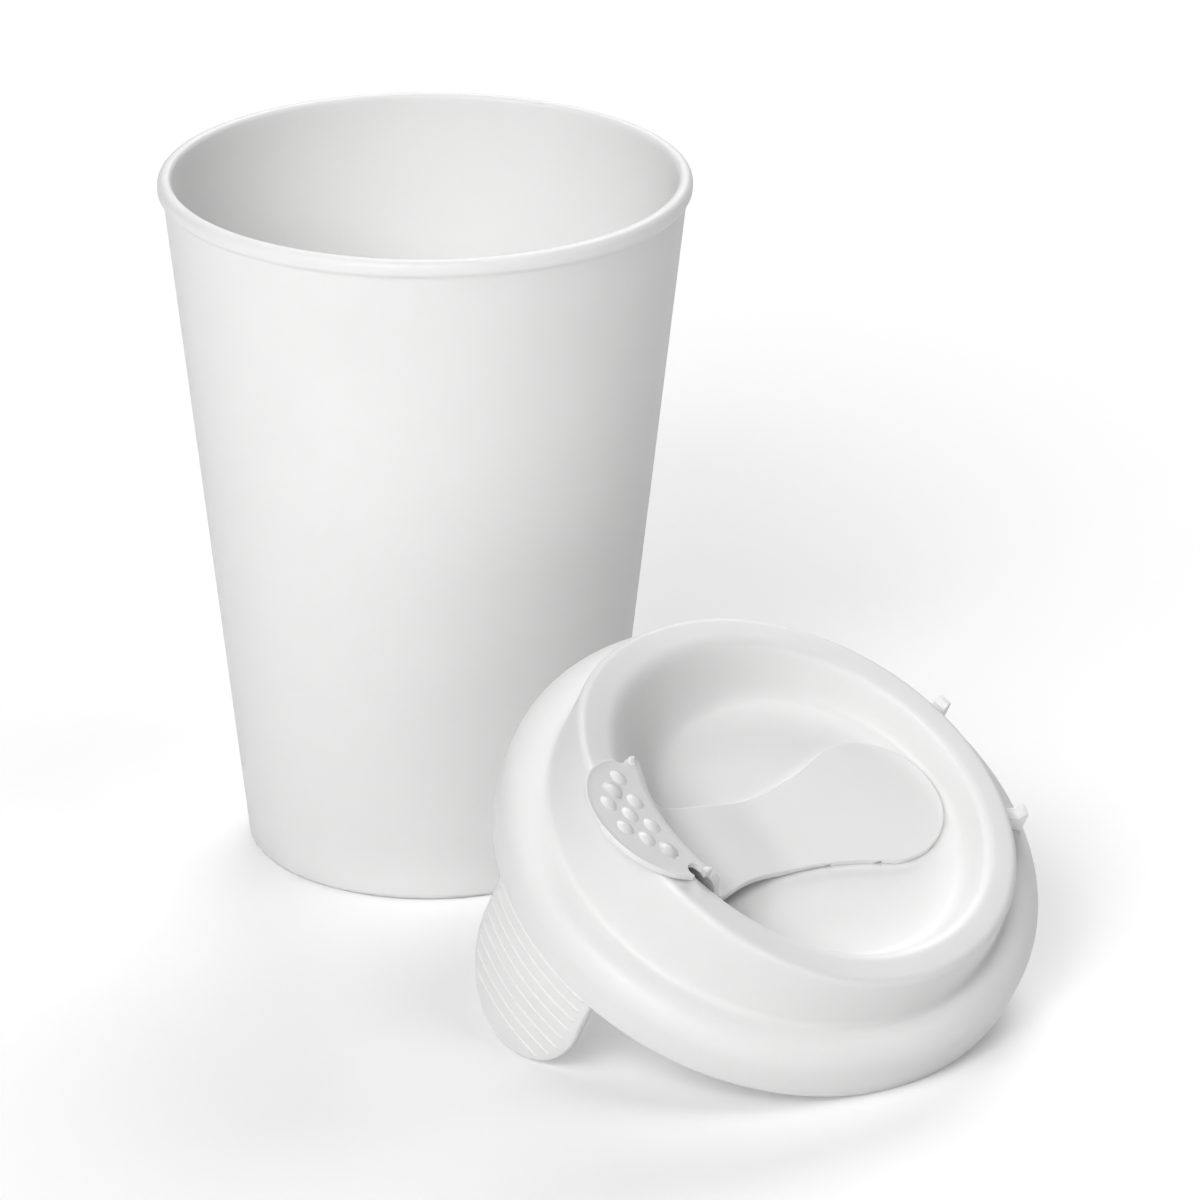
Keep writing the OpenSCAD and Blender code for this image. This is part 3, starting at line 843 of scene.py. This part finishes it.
@dataclass(frozen=True)
class MouldTexture:
    """Shared effect: the fine spark-eroded grain and the faint flow unevenness of a moulding."""

    name: str = "mould_texture"
    grain_scale: float = 2600
    flow_scale: float = 34

    def group(self) -> bpy.types.ShaderNodeTree:
        """Returns the node group, built the first time it is asked for."""
        tree = bpy.data.node_groups.get(self.name)
        if tree:
            return tree
        tree = bpy.data.node_groups.new(self.name, "ShaderNodeTree")
        face = tree.interface
        face.new_socket("Shift", in_out="INPUT", socket_type="NodeSocketVector")
        face.new_socket("Tint", in_out="INPUT", socket_type="NodeSocketColor")
        face.new_socket("Shade", in_out="INPUT", socket_type="NodeSocketColor")
        face.new_socket("Gloss", in_out="INPUT", socket_type="NodeSocketFloat")
        face.new_socket("Gloss Spread", in_out="INPUT", socket_type="NodeSocketFloat")
        face.new_socket("Color", in_out="OUTPUT", socket_type="NodeSocketColor")
        face.new_socket("Roughness", in_out="OUTPUT", socket_type="NodeSocketFloat")
        face.new_socket("Height", in_out="OUTPUT", socket_type="NodeSocketFloat")
        nodes, links = tree.nodes, tree.links
        given = nodes.new("NodeGroupInput")
        result = nodes.new("NodeGroupOutput")
        place = nodes.new("ShaderNodeTexCoord")
        moved = nodes.new("ShaderNodeVectorMath")
        links.new(place.outputs["Object"], moved.inputs[0])
        links.new(given.outputs["Shift"], moved.inputs[1])
        grain = nodes.new("ShaderNodeTexNoise")
        grain.inputs["Scale"].default_value = self.grain_scale
        grain.inputs["Detail"].default_value = 3
        flow = nodes.new("ShaderNodeTexNoise")
        flow.inputs["Scale"].default_value = self.flow_scale
        flow.inputs["Detail"].default_value = 4
        flow.inputs["Roughness"].default_value = 0.62
        for noise in (grain, flow):
            links.new(moved.outputs[0], noise.inputs["Vector"])
        tone = nodes.new("ShaderNodeMapRange")
        tone.inputs["From Min"].default_value = 0.3
        tone.inputs["From Max"].default_value = 0.7
        links.new(flow.outputs["Fac"], tone.inputs["Value"])
        mixed = nodes.new("ShaderNodeMix")
        mixed.data_type = "RGBA"
        links.new(tone.outputs[0], mixed.inputs["Factor"])
        links.new(given.outputs["Shade"], mixed.inputs["A"])
        links.new(given.outputs["Tint"], mixed.inputs["B"])
        links.new(mixed.outputs["Result"], result.inputs["Color"])
        spread = nodes.new("ShaderNodeMath")
        spread.operation = "MULTIPLY"
        links.new(tone.outputs[0], spread.inputs[0])
        links.new(given.outputs["Gloss Spread"], spread.inputs[1])
        rough = nodes.new("ShaderNodeMath")
        rough.operation = "ADD"
        links.new(spread.outputs[0], rough.inputs[0])
        links.new(given.outputs["Gloss"], rough.inputs[1])
        links.new(rough.outputs[0], result.inputs["Roughness"])
        links.new(grain.outputs["Fac"], result.inputs["Height"])
        return tree


@dataclass(frozen=True)
class MouldedPlastic:
    """A satin injection-moulded plastic, slightly uneven in tone and gloss."""

    name: str
    tint: tuple[float, float, float]
    shade: tuple[float, float, float]
    gloss: float = 0.42
    gloss_spread: float = 0.1
    grain: float = 0.12
    shift: tuple[float, float, float] = (0, 0, 0)
    edge: float = 0.35
    glow: float = 0.25
    glow_depth: float = 1.0

    def material(self) -> bpy.types.Material:
        """Returns the material, built the first time it is asked for."""
        made = bpy.data.materials.get(self.name)
        if made:
            return made
        made = bpy.data.materials.new(self.name)
        made.use_nodes = True
        made.diffuse_color = (*self.tint, 1)
        nodes, links = made.node_tree.nodes, made.node_tree.links
        shader = nodes["Principled BSDF"]
        shader.inputs["IOR"].default_value = 1.49
        shader.inputs["Specular IOR Level"].default_value = 0.5
        shader.inputs["Subsurface Weight"].default_value = self.glow
        shader.inputs["Subsurface Radius"].default_value = (1, 1, 1)
        shader.inputs["Subsurface Scale"].default_value = self.glow_depth * MM
        texture = nodes.new("ShaderNodeGroup")
        texture.node_tree = MouldTexture().group()
        texture.inputs["Shift"].default_value = self.shift
        texture.inputs["Tint"].default_value = (*self.tint, 1)
        texture.inputs["Shade"].default_value = (*self.shade, 1)
        texture.inputs["Gloss"].default_value = self.gloss
        texture.inputs["Gloss Spread"].default_value = self.gloss_spread
        links.new(texture.outputs["Color"], shader.inputs["Base Color"])
        links.new(texture.outputs["Roughness"], shader.inputs["Roughness"])
        rounded = nodes.new("ShaderNodeBevel")
        rounded.samples = 6
        rounded.inputs["Radius"].default_value = self.edge * MM
        bump = nodes.new("ShaderNodeBump")
        bump.inputs["Strength"].default_value = self.grain
        bump.inputs["Distance"].default_value = 0.03 * MM
        links.new(texture.outputs["Height"], bump.inputs["Height"])
        links.new(rounded.outputs["Normal"], bump.inputs["Normal"])
        links.new(bump.outputs["Normal"], shader.inputs["Normal"])
        return made

    def dress(self, *objects: bpy.types.Object) -> None:
        """Gives this finish to each object as its only material."""
        for obj in objects:
            obj.data.materials.clear()
            obj.data.materials.append(self.material())


CUP_FINISH = MouldedPlastic(
    "cup_satin_white", tint=(0.875, 0.875, 0.872), shade=(0.855, 0.855, 0.852),
    shift=(0.3, 0, 0), glow=0.7, glow_depth=3,
)
LID_FINISH = MouldedPlastic(
    "lid_satin_white", tint=(0.9, 0.9, 0.897), shade=(0.88, 0.88, 0.877), shift=(0, 0.4, 0), edge=0.2
)
FLAP_FINISH = MouldedPlastic(
    "flap_satin_white", tint=(0.9, 0.9, 0.897), shade=(0.88, 0.88, 0.877),
    gloss=0.36, shift=(0, 0, 0.5), edge=0.12,
)


def finish_piece(obj: bpy.types.Object, body: Body, slot: Slot, finish: MouldedPlastic, *nodes: str) -> None:
    """Dresses a piece, ties it to its body and hides the solids that it stands for.

    Args:
        obj: The piece.
        body: The body that it rides on.
        slot: The record's finish that it shows. Not used.
        finish: Its material.
        nodes: The solids that it replaces.
    """
    finish.dress(obj)
    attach(obj, body.value)
    if nodes:
        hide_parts(*nodes)
    LOG.info("%s: %d faces, on %s", obj.name, len(obj.data.polygons), body.value)


@dataclass
class Studio:
    """Floor, soft lamps and the photograph's camera."""

    lens: float = 225
    sensor: float = 36
    pitch: float = 22.01
    roll: float = 0.175
    distance: float = 1.2884
    aim: tuple[float, float, float] = (0.00116, 0.0352, 0.04284)
    floor_size: float = 12
    floor_lift: float = 0.17
    lamps: Sequence[tuple[str, tuple[float, float, float], float, float]] = field(
        default_factory=lambda: (
            ("key_lamp", (-0.93, -1.26, 1.3), 1.2, 12.5),
            ("front_lamp", (-0.48, -1.66, 1.1), 0.9, 17.0),
            ("top_lamp", (0.67, -0.26, 1.7), 0.9, 6.0),
            ("back_lamp", (0.17, 1.34, 1.3), 1.2, 19.5),
        )
    )

    def camera(self) -> None:
        """Adds the camera that sees the object as the photograph does."""
        pitch = math.radians(self.pitch)
        away = Vector((0, -math.cos(pitch), math.sin(pitch))) * self.distance
        place = Vector(self.aim) + away
        bpy.ops.object.camera_add(location=place)
        camera = bpy.context.object
        camera.name = "camera"
        camera.data.lens = self.lens
        camera.data.sensor_width = self.sensor
        camera.data.clip_end = 50
        turn = Matrix.Rotation(math.pi / 2 - pitch, 4, "X") @ Matrix.Rotation(math.radians(self.roll), 4, "Z")
        camera.matrix_world = Matrix.Translation(place) @ turn
        bpy.context.scene.camera = camera

    def lights(self) -> None:
        """Adds the soft lamps, each turned towards the object's middle."""
        for name, place, size, power in self.lamps:
            bpy.ops.object.light_add(type="AREA", location=place)
            lamp = bpy.context.object
            lamp.name = name
            lamp.data.shape = "DISK"
            lamp.data.size = size
            lamp.data.energy = power
            aim = Vector((0, 0, 0.05)) - Vector(place)
            lamp.rotation_euler = aim.to_track_quat("-Z", "Y").to_euler()

    def world(self) -> None:
        """Sets a plain grey surround that camera rays and transmission rays see as white."""
        world = bpy.data.worlds.new("surround")
        bpy.context.scene.world = world
        world.use_nodes = True
        nodes, links = world.node_tree.nodes, world.node_tree.links
        light = nodes["Background"]
        light.inputs["Color"].default_value = (1, 1, 1, 1)
        light.inputs["Strength"].default_value = 0.02
        seen = nodes.new("ShaderNodeBackground")
        seen.inputs["Color"].default_value = (1, 1, 1, 1)
        seen.inputs["Strength"].default_value = 1
        path = nodes.new("ShaderNodeLightPath")
        sight = nodes.new("ShaderNodeMath")
        sight.operation = "MAXIMUM"
        links.new(path.outputs["Is Camera Ray"], sight.inputs[0])
        links.new(path.outputs["Is Transmission Ray"], sight.inputs[1])
        mix = nodes.new("ShaderNodeMixShader")
        links.new(sight.outputs[0], mix.inputs["Fac"])
        links.new(light.outputs[0], mix.inputs[1])
        links.new(seen.outputs[0], mix.inputs[2])
        links.new(mix.outputs[0], nodes["World Output"].inputs["Surface"])

    def floor(self) -> None:
        """Lays the pale floor."""
        bpy.ops.mesh.primitive_plane_add(size=self.floor_size, location=(0, 0, -0.0001))
        floor = Bench.named("floor")
        made = bpy.data.materials.new("pale_floor")
        made.use_nodes = True
        shader = made.node_tree.nodes["Principled BSDF"]
        shader.inputs["Base Color"].default_value = (0.93, 0.93, 0.93, 1)
        shader.inputs["Roughness"].default_value = 0.9
        shader.inputs["Specular IOR Level"].default_value = 0
        # The camera sees the floor a little brighter than the lamps alone make it, up to white
        path = made.node_tree.nodes.new("ShaderNodeLightPath")
        lift = made.node_tree.nodes.new("ShaderNodeMath")
        lift.operation = "MULTIPLY"
        lift.inputs[1].default_value = self.floor_lift
        made.node_tree.links.new(path.outputs["Is Camera Ray"], lift.inputs[0])
        shader.inputs["Emission Color"].default_value = (1, 1, 1, 1)
        made.node_tree.links.new(lift.outputs[0], shader.inputs["Emission Strength"])
        floor.data.materials.append(made)

    def build(self) -> None:
        """Builds the whole studio."""
        bpy.context.scene.view_settings.view_transform = "Standard"
        self.camera()
        self.lights()
        self.world()
        self.floor()


def main() -> None:
    """Builds the scene piece by piece."""
    logging.basicConfig(level=logging.INFO, format="%(message)s")
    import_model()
    lid = LidShell()
    CupShell().build()
    lid.build()
    FlapMoulding().build(lid)
    Studio().build()


if __name__ == "__main__":
    main()
